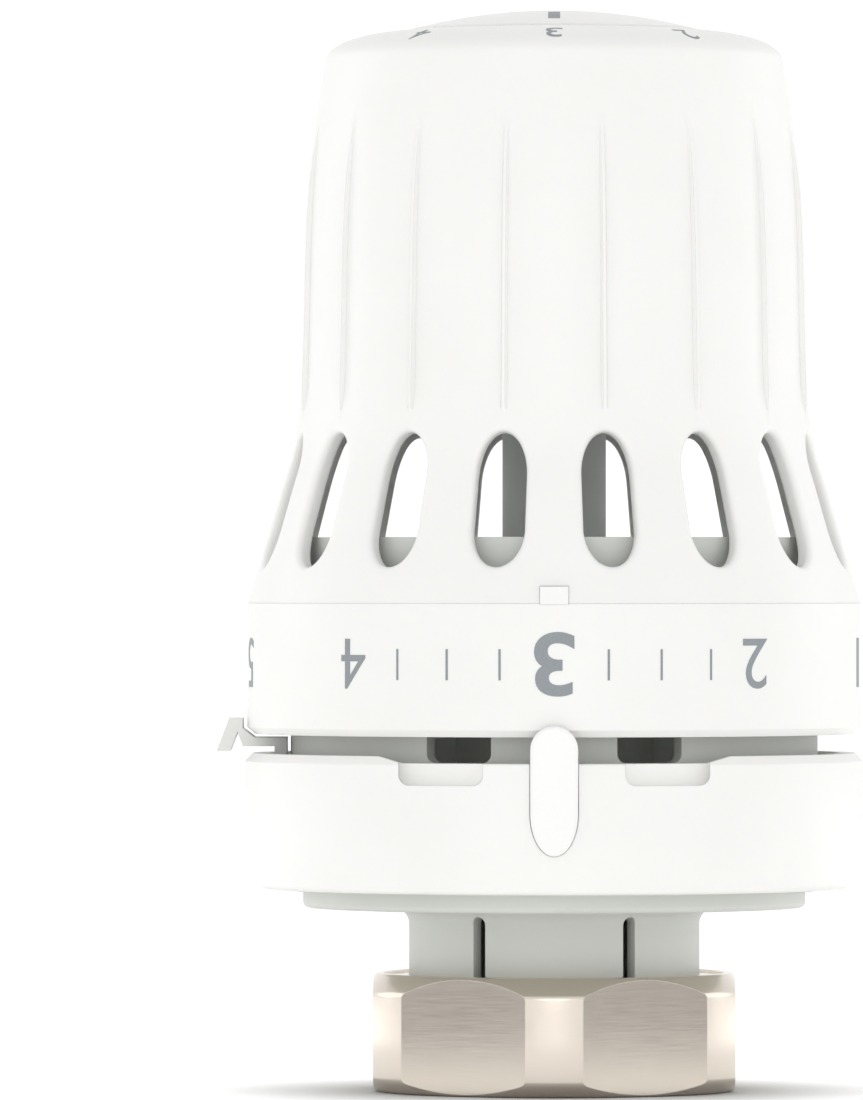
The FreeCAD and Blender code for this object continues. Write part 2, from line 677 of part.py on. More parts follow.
def bellows_cap():
    z = bellows_top + fit_gap
    return lathe_points([
        (0, z + bellows_cap_t), (bellows_r - 1, z + bellows_cap_t), (bellows_r - 1, z),
        (pin_boss_r, z), (pin_boss_r, z - pin_boss_length), (pin_r + fit_gap, z - pin_boss_length),
        (pin_r + fit_gap, z), (0, z)])


def transmission_pin():
    low = sleeve_top - sleeve_top_t / 2
    return disc(pin_r, low, bellows_top - low)


def overtravel_sleeve():
    cup = lathe_points([
        (sleeve_inner_r, sleeve_z), (sleeve_r, sleeve_z), (sleeve_r, sleeve_top),
        (pin_r + fit_gap, sleeve_top), (pin_r + fit_gap, sleeve_top - sleeve_top_t / 2),
        (0, sleeve_top - sleeve_top_t / 2), (0, spring_top), (sleeve_inner_r, spring_top)])
    return cup.cut(disc(sleeve_inner_r + clip_bite, clip_z - fit_gap, clip_t + 2 * fit_gap))


def sleeve_clip():
    return split_ring(sleeve_inner_r + clip_bite - fit_gap, pusher_r + limiter_gap, clip_z, clip_t,
                      retainer_gap, 180)


def pusher():
    edge = 0.4
    return lathe_points([
        (0, pusher_face), (pusher_r - edge, pusher_face), (pusher_r, pusher_face + edge),
        (pusher_r, collar_bottom), (sleeve_inner_r - limiter_gap, collar_bottom),
        (sleeve_inner_r - limiter_gap, collar_top), (pusher_nose_r, collar_top),
        (pusher_nose_r, collar_top + pusher_nose_length), (0, collar_top + pusher_nose_length)])


def overtravel_spring():
    wire_r = spring_wire / 2
    low = collar_top + wire_r + fit_gap
    length = spring_top - wire_r - fit_gap - low
    path = Part.makeHelix(length / spring_turns, length, spring_r)
    profile = Part.Wire(Part.Circle(V(spring_r, 0, 0), V(0, 1, 0), wire_r).toShape())
    coil = Part.Wire(path).makePipeShell([profile], True, True)
    coil.translate(V(0, 0, low))
    return coil


PIECES = [
    union_nut, socket_body, base_shell, index_pointer, retaining_ring, limiter_ring,
    handwheel_cap, scale_ring, top_disc,
    setting_spindle, capsule_holder, capsule_base, capsule_can, capsule_clamp, fill_plug,
    bellows, bellows_cap, transmission_pin, overtravel_sleeve, sleeve_clip,
    pusher, overtravel_spring,
]

os.makedirs("parts", exist_ok=True)
for make in PIECES:
    shape = make()
    solids = shape.Solids
    print(f"{make.__name__}: {len(solids)} solid, {shape.Volume:.1f} mm3, valid {shape.isValid()}")
    shape.exportStep(f"parts/{make.__name__}.step")
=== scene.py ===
"""Looks of a thermostatic radiator head: white turning cap, scale ring, collar and a plated union nut.

Everything is in metres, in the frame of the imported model: +Z runs up the head's axis, the index
pointer faces -Y.  Each sub-assembly is a class with its sizes as fields; each finish is a frozen
dataclass that builds its own material.
"""
import logging
import math
from dataclasses import dataclass, field
from enum import Enum
from typing import Any, Callable

import bpy
from bpy.types import Material, Node, NodeSocket, NodeTree, Object
from mathutils import Matrix, Vector


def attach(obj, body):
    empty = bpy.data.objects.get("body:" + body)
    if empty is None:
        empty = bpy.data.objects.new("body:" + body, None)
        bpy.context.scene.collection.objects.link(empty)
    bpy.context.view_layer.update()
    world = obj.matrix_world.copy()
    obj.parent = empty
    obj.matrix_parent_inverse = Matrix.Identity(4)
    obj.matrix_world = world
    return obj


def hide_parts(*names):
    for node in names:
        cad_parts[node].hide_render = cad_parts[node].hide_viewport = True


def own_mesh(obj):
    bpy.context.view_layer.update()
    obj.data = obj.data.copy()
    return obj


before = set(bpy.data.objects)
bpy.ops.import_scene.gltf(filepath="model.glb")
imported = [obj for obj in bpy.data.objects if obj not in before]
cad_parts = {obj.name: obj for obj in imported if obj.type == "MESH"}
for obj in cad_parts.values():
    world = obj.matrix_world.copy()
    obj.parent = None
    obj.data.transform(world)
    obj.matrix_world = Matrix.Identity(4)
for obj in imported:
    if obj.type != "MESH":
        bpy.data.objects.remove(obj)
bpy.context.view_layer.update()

logging.basicConfig(level=logging.INFO, format="%(name)s: %(message)s")
log = logging.getLogger("head")

MM = 0.001
FRONT = -math.pi / 2
TOUCH = 0.01 * MM


class Body(Enum):
    """Rigid bodies that the new pieces ride on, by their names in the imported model."""

    NUT = "nut"
    HANDWHEEL = "handwheel"
    SETTING_UNIT = "setting_unit"
    TRANSMISSION = "transmission"


# ---- Finishes ---------------------------------------------------------------------------------
def linear(code: str) -> tuple[float, float, float, float]:
    """Turn an sRGB hex colour into a linear colour.

    Args:
        code: Colour such as "F4F4F1".

    Returns:
        Linear red, green, blue and an alpha of one.
    """
    parts = [int(code[i:i + 2], 16) / 255 for i in (0, 2, 4)]
    red, green, blue = (p / 12.92 if p <= 0.04045 else ((p + 0.055) / 1.055) ** 2.4 for p in parts)
    return red, green, blue, 1.0


def add_node(tree: NodeTree, kind: str, settings: dict[str, Any] | None = None,
             inputs: dict[str, Any] | None = None) -> Node:
    """Add one node with its settings, and its sockets either set or linked.

    Args:
        tree: Node tree that gets the node.
        kind: Node type, such as "ShaderNodeBump".
        settings: Node properties by name.
        inputs: Values or source sockets by input name.

    Returns:
        The new node.
    """
    node = tree.nodes.new(kind)
    for name, value in (settings or {}).items():
        setattr(node, name, value)
    for name, value in (inputs or {}).items():
        socket = node.inputs[int(name)] if name.isdigit() else node.inputs[name]
        if isinstance(value, NodeSocket):
            tree.links.new(value, socket)
        else:
            socket.default_value = value
    return node


def noise(tree: NodeTree, place: NodeSocket, size: float, detail: float = 2.0) -> NodeSocket:
    """Add noise from 0 to 1 with blotches of a size in metres."""
    return add_node(tree, "ShaderNodeTexNoise", None,
                    {"Vector": place, "Scale": 1 / size, "Detail": detail}).outputs["Fac"]


def two_tone(tree: NodeTree, share: NodeSocket, colour: str, shade: str) -> NodeSocket:
    """Mix two sRGB hex colours by a share."""
    return add_node(tree, "ShaderNodeMix", {"data_type": "RGBA"},
                    {"0": share, "6": linear(colour), "7": linear(shade)}).outputs[2]


def new_material(name: str) -> tuple[Material, NodeTree]:
    """Make an empty node material.

    Args:
        name: Material name.

    Returns:
        The material and its cleared node tree.
    """
    material = bpy.data.materials.new(name)
    material.use_nodes = True
    material.node_tree.nodes.clear()
    return material, material.node_tree


@dataclass(frozen=True)
class MouldedPlastic:
    """Injection-moulded thermoplastic with a fine spark-eroded mould grain."""

    name: str
    colour: str
    shade: str
    roughness: float = 0.38
    ior: float = 1.53
    grain_size: float = 0.30 * MM
    grain_height: float = 0.006 * MM
    flow_size: float = 9.0 * MM
    edge_round: float = 0.12 * MM
    glow: float = 0.0

    def build(self) -> Material:
        """Build the material.

        Returns:
            Satin plastic: faint tone drift from the melt's flow, grain that breaks up the gloss.
        """
        material, tree = new_material(self.name)
        place = add_node(tree, "ShaderNodeTexCoord").outputs["Object"]
        flow = noise(tree, place, self.flow_size)
        grain = noise(tree, place, self.grain_size, 3.0)
        gloss = add_node(tree, "ShaderNodeMapRange", None,
                         {"Value": grain, "To Min": self.roughness - 0.05,
                          "To Max": self.roughness + 0.07})
        edge = add_node(tree, "ShaderNodeBevel", {"samples": 4}, {"Radius": self.edge_round})
        bump = add_node(tree, "ShaderNodeBump", None,
                        {"Height": grain, "Strength": 0.5,
                         "Distance": self.grain_height, "Normal": edge.outputs["Normal"]})
        shader = add_node(tree, "ShaderNodeBsdfPrincipled", None,
                          {"Base Color": two_tone(tree, flow, self.colour, self.shade),
                           "Roughness": gloss.outputs["Result"],
                           "IOR": self.ior, "Normal": bump.outputs["Normal"],
                           "Subsurface Weight": self.glow, "Subsurface Scale": 0.8 * MM})
        add_node(tree, "ShaderNodeOutputMaterial", None, {"Surface": shader.outputs["BSDF"]})
        return material


@dataclass(frozen=True)
class WorkedMetal:
    """Metal with fine tool marks that run round the axis or along it."""

    name: str
    colour: str
    shade: str
    roughness: float = 0.26
    mark_size: float = 0.16 * MM
    mark_height: float = 0.004 * MM
    along_axis: float = 0.04
    around_axis: float = 1.0
    cloud_size: float = 5.0 * MM
    edge_round: float = 0.10 * MM

    def build(self) -> Material:
        """Build the material.

        Returns:
            Metal whose marks stretch the highlights and whose tone drifts slightly.
        """
        material, tree = new_material(self.name)
        place = add_node(tree, "ShaderNodeTexCoord").outputs["Object"]
        scale = Vector((self.around_axis, self.around_axis, self.along_axis))
        stretched = add_node(tree, "ShaderNodeMapping", None, {"Vector": place, "Scale": scale})
        marks = noise(tree, stretched.outputs["Vector"], self.mark_size, 4.0)
        cloud = noise(tree, place, self.cloud_size, 3.0)
        gloss = add_node(tree, "ShaderNodeMapRange", None,
                         {"Value": marks, "To Min": self.roughness - 0.06,
                          "To Max": self.roughness + 0.08})
        edge = add_node(tree, "ShaderNodeBevel", {"samples": 4}, {"Radius": self.edge_round})
        bump = add_node(tree, "ShaderNodeBump", None,
                        {"Height": marks, "Strength": 0.4,
                         "Distance": self.mark_height, "Normal": edge.outputs["Normal"]})
        shader = add_node(tree, "ShaderNodeBsdfPrincipled", None,
                          {"Base Color": two_tone(tree, cloud, self.colour, self.shade),
                           "Roughness": gloss.outputs["Result"],
                           "Metallic": 1.0, "Normal": bump.outputs["Normal"]})
        add_node(tree, "ShaderNodeOutputMaterial", None, {"Surface": shader.outputs["BSDF"]})
        return material


@dataclass(frozen=True)
class PadInk:
    """Pad-printed two-part ink: matt, a little thin where the pad lifted."""

    name: str
    colour: str
    thin: str
    speck_size: float = 0.12 * MM
    roughness: float = 0.55

    def build(self) -> Material:
        """Build the material.

        Returns:
            Grey ink with a faint, fine mottle.
        """
        material, tree = new_material(self.name)
        place = add_node(tree, "ShaderNodeTexCoord").outputs["Object"]
        speck = noise(tree, place, self.speck_size, 4.0)
        ramp = add_node(tree, "ShaderNodeMapRange", None,
                        {"Value": speck, "From Min": 0.45, "From Max": 0.9})
        tone = two_tone(tree, ramp.outputs["Result"], self.colour, self.thin)
        shader = add_node(tree, "ShaderNodeBsdfPrincipled", None,
                          {"Base Color": tone, "Roughness": self.roughness, "IOR": 1.5})
        add_node(tree, "ShaderNodeOutputMaterial", None, {"Surface": shader.outputs["BSDF"]})
        return material


# ABS, moulded in a fine-grained tool: clean cool white, soft satin highlights.
WHITE_ABS = MouldedPlastic("white_moulded_abs", "F6F6F4", "F1F1EE", glow=0.04)
# ABS from a polished cavity: same white, tighter highlight.
POLISHED_ABS = MouldedPlastic("white_polished_abs", "F9F9F8", "F5F5F3", roughness=0.24,
                              grain_height=0.002 * MM)
# Glass-filled nylon: light warm grey, duller, with a slightly rougher skin.
GREY_NYLON = MouldedPlastic("grey_glass_filled_nylon", "D7D9D4", "D1D3CE", roughness=0.46,
                            grain_height=0.009 * MM)
# Acetal, moulded: slightly translucent off-white with a waxy sheen.
ACETAL = MouldedPlastic("natural_moulded_acetal", "E9EAE6", "E2E3DF", roughness=0.33, ior=1.48,
                        glow=0.08)
# Acetal coloured grey, for the parts inside.
DARK_ACETAL = MouldedPlastic("grey_moulded_acetal", "B4B7B6", "ADB0AF", roughness=0.42, ior=1.48)
# Acetal coloured light grey, for the spindle that shows through the slots.
PALE_ACETAL = MouldedPlastic("pale_grey_moulded_acetal", "DCDEDC", "D6D8D6", roughness=0.4, ior=1.48)
# Brass, turned and nickel plated: warm silver with faint rings left by the lathe.
NICKEL_BRASS = WorkedMetal("nickel_plated_turned_brass", "DFD6CB", "D8CEC2", roughness=0.17,
                           mark_size=0.10 * MM, mark_height=0.0012 * MM, along_axis=1.0,
                           around_axis=0.03, cloud_size=9.0 * MM)
# Brass sheet, deep drawn: yellow, with lengthwise stretch marks.
DRAWN_BRASS = WorkedMetal("deep_drawn_brass", "D9B978", "CFAE6C", roughness=0.30)
# Phosphor bronze, rolled thin: reddish, bright.
BRONZE = WorkedMetal("rolled_phosphor_bronze", "D8A27A", "CB956C", roughness=0.24)
# Stainless steel, ground: neutral, with fine rings round the pin.
GROUND_STEEL = WorkedMetal("ground_stainless_steel", "C9CBCD", "BFC1C4", roughness=0.22,
                           along_axis=1.0, around_axis=0.06)
# Spring steel, drawn and tempered: darker grey with a faint oily tone.
SPRING_STEEL = WorkedMetal("tempered_spring_steel", "A9ABB0", "9A9BA0", roughness=0.32)
# Pad-print ink in a mid grey.
GREY_INK = PadInk("pad_printed_grey_ink", "8E9498", "9CA2A6")


# ---- Modelling helpers ------------------------------------------------------------------------
def only(obj: Object) -> None:
    """Select one object alone and make it active.

    Args:
        obj: Object to select.
    """
    bpy.ops.object.select_all(action="DESELECT")
    obj.select_set(True)
    bpy.context.view_layer.objects.active = obj


def pick(obj: Object, test: Callable[[Vector], bool]) -> None:
    """Enter edit mode with the vertices that pass a test selected.

    Args:
        obj: Mesh object.
        test: Says whether a vertex at that place is wanted.
    """
    only(obj)
    bpy.ops.object.mode_set(mode="EDIT")
    bpy.ops.mesh.select_mode(type="VERT")
    bpy.ops.mesh.select_all(action="DESELECT")
    bpy.ops.object.mode_set(mode="OBJECT")
    for vertex in obj.data.vertices:
        vertex.select = test(vertex.co)
    bpy.ops.object.mode_set(mode="EDIT")
    bpy.ops.mesh.select_mode(type="VERT")


def leave() -> None:
    """Go back to object mode."""
    bpy.ops.object.mode_set(mode="OBJECT")


def weld(obj: Object, reach: float, outward: bool = True) -> None:
    """Merge the vertices of a mesh that lie together.

    Args:
        obj: Mesh object.
        reach: Distance up to which vertices merge.
        outward: Whether to turn the faces outward as well.
    """
    only(obj)
    bpy.ops.object.mode_set(mode="EDIT")
    bpy.ops.mesh.select_mode(type="VERT")
    bpy.ops.mesh.select_all(action="SELECT")
    bpy.ops.mesh.remove_doubles(threshold=reach)
    if outward:
        bpy.ops.mesh.normals_make_consistent(inside=False)
    leave()


def fix_place(obj: Object) -> None:
    """Put an object's place, turn and size into its mesh."""
    only(obj)
    bpy.ops.object.transform_apply(location=True, rotation=True, scale=True)


def block(name: str, size: tuple[float, float, float],
          middle: tuple[float, float, float] = (0, 0, 0)) -> Object:
    """Make a rectangular block.

    Args:
        name: Object name.
        size: Lengths along X, Y and Z.
        middle: Its centre.

    Returns:
        The block, with its size and place in its mesh.
    """
    bpy.ops.mesh.primitive_cube_add(size=1, location=middle)
    obj = bpy.context.object
    obj.name = name
    obj.scale = size
    fix_place(obj)
    return obj


def round_edges(obj: Object, angle: float = 32) -> None:
    """Shade smooth, but keep edges sharper than an angle in degrees."""
    only(obj)
    bpy.ops.object.shade_smooth_by_angle(angle=math.radians(angle))


def apply_modifier(obj: Object, kind: str, **settings: Any) -> None:
    """Add a modifier, set it and apply it.

    Args:
        obj: Mesh object.
        kind: Modifier type.
        **settings: Modifier properties.
    """
    only(obj)
    modifier = obj.modifiers.new(kind.lower(), kind)
    for name, value in settings.items():
        setattr(modifier, name, value)
    bpy.ops.object.modifier_apply(modifier=modifier.name)


def cut(obj: Object, tool: Object, operation: str = "DIFFERENCE") -> None:
    """Cut one object with another, and remove the tool.

    Args:
        obj: Object that is cut.
        tool: Closed object that cuts it.
        operation: Kind of boolean.
    """
    apply_modifier(obj, "BOOLEAN", operation=operation, object=tool, solver="EXACT")
    bpy.data.objects.remove(tool, do_unlink=True)


def lathe(name: str, outline: list[tuple[float, float]], steps: int = 192) -> Object:
    """Turn a closed outline about Z by pulling a circle along it.

    Args:
        name: Object name.
        outline: (radius, height) points in order, without the first one repeated.
        steps: Faces round the axis.

    Returns:
        The closed ring-shaped object.
    """
    first_r, first_z = outline[0]
    bpy.ops.mesh.primitive_circle_add(vertices=steps, radius=first_r, location=(0, 0, 0))
    obj = bpy.context.object
    obj.name = name
    bpy.ops.object.mode_set(mode="EDIT")
    bpy.ops.mesh.select_all(action="SELECT")
    bpy.ops.transform.translate(value=(0, 0, first_z))
    last_r, last_z = first_r, first_z
    for r, z in outline[1:] + outline[:1]:
        bpy.ops.mesh.extrude_region_move(TRANSFORM_OT_translate={"value": (0, 0, z - last_z)})
        bpy.ops.transform.resize(value=(r / last_r, r / last_r, 1), center_override=(0, 0, z))
        last_r, last_z = r, z
    leave()
    weld(obj, 0.002 * MM)
    fix_place(obj)
    return obj


def rounded(points: list[tuple[float, float, float]], steps: int = 5) -> list[tuple[float, float]]:
    """Round the corners of a closed outline.

    Args:
        points: (radius, height, corner radius) of each corner.
        steps: Facets on each rounded corner.

    Returns:
        Outline with each rounded corner as a short curve.
    """
    result: list[tuple[float, float]] = []
    count = len(points)
    for i, (x, z, corner) in enumerate(points):
        here = Vector((x, z))
        if corner <= 0:
            result.append((x, z))
            continue
        back = (Vector(points[i - 1][:2]) - here).normalized() * corner
        ahead = (Vector(points[(i + 1) % count][:2]) - here).normalized() * corner
        for k in range(steps + 1):
            t = k / steps
            spot = here + back * (1 - t) ** 2 + ahead * t ** 2
            result.append((spot.x, spot.y))
    return result


def own_copy(obj: Object, name: str, turn: float) -> Object:
    """Copy an object with its own mesh, turned about the axis.

    Args:
        obj: Object to copy.
        name: Name of the copy.
        turn: Angle in radians.

    Returns:
        The copy, with its turn in its mesh.
    """
    copy = obj.copy()
    copy.data = obj.data.copy()
    copy.name = name
    bpy.context.collection.objects.link(copy)
    copy.data.transform(Matrix.Rotation(turn, 4, "Z"))
    return copy


def join(objects: list[Object], name: str) -> Object:
    """Join objects into one and weld what meets.

    Args:
        objects: Objects to join.
        name: Name of the result.

    Returns:
        The joined object.
    """
    bpy.ops.object.select_all(action="DESELECT")
    for obj in objects:
        obj.select_set(True)
    bpy.context.view_layer.objects.active = objects[0]
    bpy.ops.object.join()
    result = bpy.context.object
    result.name = name
    weld(result, 0.004 * MM, outward=False)
    return result


def dress(obj: Object, material: Material) -> None:
    """Give an object one material."""
    obj.data.materials.clear()
    obj.data.materials.append(material)


def finish_piece(obj: Object, material: Material, body: Body,
                 stands_for: str | None = None) -> Object:
    """Dress a new piece and attach it to its body.

    Args:
        obj: The finished mesh.
        material: Its material.
        body: Body that it moves with.
        stands_for: CAD node that it replaces, if any.

    Returns:
        The same object.
    """
    dress(obj, material)
    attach(obj, body.value)
    if stands_for:
        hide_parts(stands_for)
    log.info("%s: %d faces", obj.name, len(obj.data.polygons))
    return obj


# ---- Handwheel cap ----------------------------------------------------------------------------
@dataclass
class Outline:
    """A curve of (radius, height) points that can be read by its length."""

    points: list[tuple[float, float]]
    lengths: list[float] = field(init=False)

    def __post_init__(self) -> None:
        """Add up the lengths along the points."""
        self.lengths = [0.0]
        for (r0, z0), (r1, z1) in zip(self.points, self.points[1:]):
            self.lengths.append(self.lengths[-1] + math.hypot(r1 - r0, z1 - z0))

    @property
    def total(self) -> float:
        """Whole length."""
        return self.lengths[-1]

    def at(self, length: float) -> tuple[float, float, float, float]:
        """Read the curve at a length.

        Args:
            length: Distance along the curve.

        Returns:
            Radius, height, and the outward normal's radial and upward parts.
        """
        length = min(max(length, 0.0), self.total - 1e-9)
        i = max(k for k, value in enumerate(self.lengths[:-1]) if value <= length)
        t = (length - self.lengths[i]) / (self.lengths[i + 1] - self.lengths[i])
        r = self.points[i][0] + t * (self.points[i + 1][0] - self.points[i][0])
        z = self.points[i][1] + t * (self.points[i + 1][1] - self.points[i][1])
        slope = [self._slope(i), self._slope(i + 1)]
        along = (slope[0] * (1 - t) + slope[1] * t).normalized()
        return r, z, along.y, -along.x

    def _slope(self, i: int) -> Vector:
        """Find the direction of the curve at one of its points.

        Args:
            i: The point's number.

        Returns:
            Unit vector from the point before to the point after.
        """
        a = self.points[max(i - 1, 0)]
        b = self.points[min(i + 1, len(self.points) - 1)]
        return Vector((b[0] - a[0], b[1] - a[1])).normalized()

    def length_at_height(self, z: float) -> float:
        """Find the length at which the curve first reaches a height.

        Args:
            z: Height.

        Returns:
            Distance along the curve.
        """
        for i, (low, high) in enumerate(zip(self.points, self.points[1:])):
            if low[1] <= z <= high[1]:
                t = (z - low[1]) / (high[1] - low[1])
                return self.lengths[i] + t * (self.lengths[i + 1] - self.lengths[i])
        return self.total


def flowing(stations: list[tuple[float, float]], step: float) -> list[tuple[float, float]]:
    """Draw a smooth curve of radius against height through stations.

    Args:
        stations: (radius, height) with rising heights.
        step: Spacing of the result's points.

    Returns:
        Points on a cubic curve through the stations.
    """
    slopes = []
    for i in range(len(stations)):
        low, high = stations[max(i - 1, 0)], stations[min(i + 1, len(stations) - 1)]
        slopes.append((high[0] - low[0]) / (high[1] - low[1]))
    result = []
    for i, ((r0, z0), (r1, z1)) in enumerate(zip(stations, stations[1:])):
        span = z1 - z0
        for k in range(max(int(span / step), 1)):
            t = k * step / span if span > step else 0.0
            a = 2 * t ** 3 - 3 * t ** 2 + 1
            b = (t ** 3 - 2 * t ** 2 + t) * span
            c = -2 * t ** 3 + 3 * t ** 2
            d = (t ** 3 - t ** 2) * span
            result.append((a * r0 + b * slopes[i] + c * r1 + d * slopes[i + 1], z0 + t * span))
    return result + [stations[-1]]


@dataclass
class HandwheelCap:
    """The slotted, ribbed cap: one sector is modelled flat, cut, then wrapped and repeated."""

    foot_r: float = 27.2 * MM
    parting_z: float = 43.3 * MM
    wall: float = 1.4 * MM
    flare: tuple[float, float] = (2.95 * MM, 10.0 * MM)
    throat: tuple[float, float] = (4.0 * MM, 13.6 * MM)
    waist: tuple[float, float] = (4.6 * MM, 18.0 * MM)
    grip: tuple[float, float] = (5.2 * MM, 35.8 * MM)
    taper: tuple[float, float] = (6.3 * MM, 44.7 * MM)
    shoulder: tuple[float, float] = (6.85 * MM, 48.1 * MM)
    seat_r: float = 12.97 * MM
    seat_z: float = 50.72 * MM
    disc_z: float = 50.9 * MM
    disc_r: float = 12.9 * MM
    disc_rise: float = 1.7 * MM
    sectors: int = 16
    slot_width: float = 4.65 * MM
    slot_low: float = 3.3 * MM
    slot_high: float = 15.0 * MM
    slot_dish: float = 0.55 * MM
    slot_stretch: float = 1.6
    rib_half: float = 0.17 * MM
    rib_flank: float = 0.31 * MM
    rib_foot: float = 0.8 * MM
    rib_proud: float = 0.22 * MM
    groove: float = 0.34 * MM
    rib_from: float = 16.2 * MM
    rib_to: float = 42.9 * MM
    rib_rise: float = 3 * MM
    rib_fade: float = 9 * MM
    columns: int = 12
    row: float = 1.1 * MM
    fine_row: float = 0.25 * MM
    side_step: float = 0.4 * MM
    pillow_steps: int = 28
    skirt_inner_r: float = 23.7 * MM
    skirt_outer_r: float = 24.9 * MM
    skirt_z: float = 32.5 * MM
    web_t: float = 1.0 * MM
    key_width: float = 2.53 * MM
    key_height: float = 1.52 * MM

    def outline(self) -> Outline:
        """Draw the outer curve from the foot over the shoulder to the disc's seat.

        Returns:
            Flowing side, then a quarter ellipse over the shoulder.
        """
        stations = [(self.foot_r, self.parting_z)]
        for inset, height in (self.flare, self.throat, self.waist, self.grip, self.taper,
                              self.shoulder):
            stations.append((self.foot_r - inset, self.parting_z + height))
        side = flowing(stations, self.side_step)
        edge_r, edge_z = side[-1]
        width, rise = edge_r - self.seat_r, self.parting_z + self.seat_z - edge_z
        steps = self.pillow_steps
        turns = [math.pi / 2 * k / steps for k in range(1, steps + 1)]
        pillow = [(self.seat_r + width * math.cos(t), edge_z + rise * math.sin(t)) for t in turns]
        return Outline(side + pillow)

    def height_at(self, reach: float) -> float:
        """Height of the cap's top, or of the raised disc, at a radius.

        Args:
            reach: Distance from the axis.

        Returns:
            Height of the surface.
        """
        if reach < self.seat_r:
            crown = self.disc_rise * (1 - (reach / self.disc_r) ** 2)
            return self.parting_z + self.disc_z + crown
        points = [p for p in self.outline().points if p[1] > self.parting_z + self.shoulder[1]]
        for (r0, z0), (r1, z1) in zip(points, points[1:]):
            if r1 <= reach <= r0:
                return z0 + (z1 - z0) * (r0 - reach) / (r0 - r1)
        return self.parting_z + self.seat_z

    def relief(self, across: float, z: float) -> float:
        """Height of the ribs and flutes above the plain wall.

        Args:
            across: Distance from the sector's middle line, at the wall.
            z: Height above the parting line.

        Returns:
            Offset along the outward normal.
        """
        rise = min(max((z - self.rib_from) / self.rib_rise, 0.0), 1.0)
        fall = min(max((self.rib_to - z) / self.rib_fade, 0.0), 1.0)
        strength = rise * rise * (3 - 2 * rise) * fall * (2 - fall)
        profile = ((0.0, self.rib_proud), (self.rib_half, self.rib_proud),
                   (self.rib_flank, -self.groove), (self.rib_foot, -0.75 * self.groove),
                   (1.8 * MM, -0.3 * self.groove), (3.2 * MM, 0.0), (self.foot_r, 0.0))
        x = abs(across)
        for (x0, h0), (x1, h1) in zip(profile, profile[1:]):
            if x0 <= x <= x1:
                return strength * (h0 + (h1 - h0) * (x - x0) / (x1 - x0))
        return 0.0

    def sheet(self, curve: Outline, reference_r: float) -> Object:
        """One sector as a flat plate with its slot cut and softened.

        Args:
            curve: Outer curve of the cap.
            reference_r: Radius at which the plate has its true width.

        Returns:
            Plate: X across, Y inward, Z along the curve.
        """
        width = 2 * math.pi / self.sectors * reference_r
        plate = block("cap_sector", (width, self.wall, curve.total),
                      (0, self.wall / 2, curve.total / 2))
        low = curve.length_at_height(self.parting_z + self.slot_low)
        high = curve.length_at_height(self.parting_z + self.slot_high)
        middle = (low + high) / 2
        bpy.ops.mesh.primitive_cylinder_add(
            vertices=40, radius=self.slot_width / 2, depth=3 * self.wall,
            location=(0, self.wall / 2, middle), rotation=(math.pi / 2, 0, 0))
        tool = bpy.context.object
        fix_place(tool)
        straight = (high - low) / 2 - self.slot_stretch * self.slot_width / 2
        for way in (1, -1):
            pick(tool, lambda p, way=way: way * (p.z - middle) > -way * TOUCH)
            bpy.ops.transform.resize(value=(1, 1, self.slot_stretch),
                                     center_override=(0, 0, middle))
            bpy.ops.transform.translate(value=(0, 0, way * straight))
            leave()
        cut(plate, tool)
        inside = self.slot_width / 2 + TOUCH
        for depth, softness in ((0.0, self.slot_dish), (self.wall, self.slot_dish / 2)):
            pick(plate, lambda p, depth=depth: abs(p.y - depth) < TOUCH and abs(p.x) < inside
                 and low - TOUCH < p.z < high + TOUCH)
            bpy.ops.mesh.bevel(offset=softness, segments=4, affect="EDGES")
            leave()
        return plate

    def grid(self, plate: Object, curve: Outline, width: float) -> None:
        """Slice the plate into small cells so that it can follow the cap's curve.

        Args:
            plate: Flat sector.
            curve: Outer curve of the cap.
            width: The sector's width.
        """
        lines = [k / self.columns - 0.5 for k in range(1, self.columns)]
        cuts = [(Vector((line * width, 0, 0)), Vector((1, 0, 0))) for line in lines]
        for across in (self.rib_half, self.rib_flank, self.rib_foot):
            for side in (-1, 1):
                cuts.append((Vector((side * across, 0, 0)), Vector((1, 0, 0))))
        shoulder = curve.length_at_height(self.parting_z + self.shoulder[1])
        place = self.row
        while place < curve.total - 0.2 * self.row:
            cuts.append((Vector((0, 0, place)), Vector((0, 0, 1))))
            near = shoulder - 0.5 * MM < place < shoulder + 3 * MM
            place += self.fine_row if near else self.row
        pick(plate, lambda p: True)
        for spot, normal in cuts:
            bpy.ops.mesh.select_all(action="SELECT")
            bpy.ops.mesh.bisect(plane_co=spot, plane_no=normal)
        leave()

    def wrap(self, plate: Object, curve: Outline, reference_r: float) -> None:
        """Bend the flat plate round the axis and along the cap's curve.

        Args:
            plate: Sliced sector.
            curve: Outer curve of the cap.
            reference_r: Radius at which the plate has its true width.
        """
        for vertex in plate.data.vertices:
            across, depth, along = vertex.co
            r, z, out, up = curve.at(along)
            share = 1 - depth / self.wall
            depth -= share * self.relief(across * r / reference_r, z - self.parting_z)
            angle = FRONT + across / reference_r
            reach = r - depth * out
            vertex.co = (reach * math.cos(angle), reach * math.sin(angle), z - depth * up)
        plate.data.update()

    def open_seams(self, plate: Object, width: float) -> None:
        """Remove the plate's side faces, where the next sector joins on.

        Args:
            plate: Sliced sector.
            width: The sector's width.
        """
        edge = width / 2 - TOUCH
        for side in (-1, 1):
            pick(plate, lambda p, side=side: side * p.x > edge)
            bpy.ops.mesh.select_mode(type="FACE")
            bpy.ops.mesh.delete(type="ONLY_FACE")
            leave()

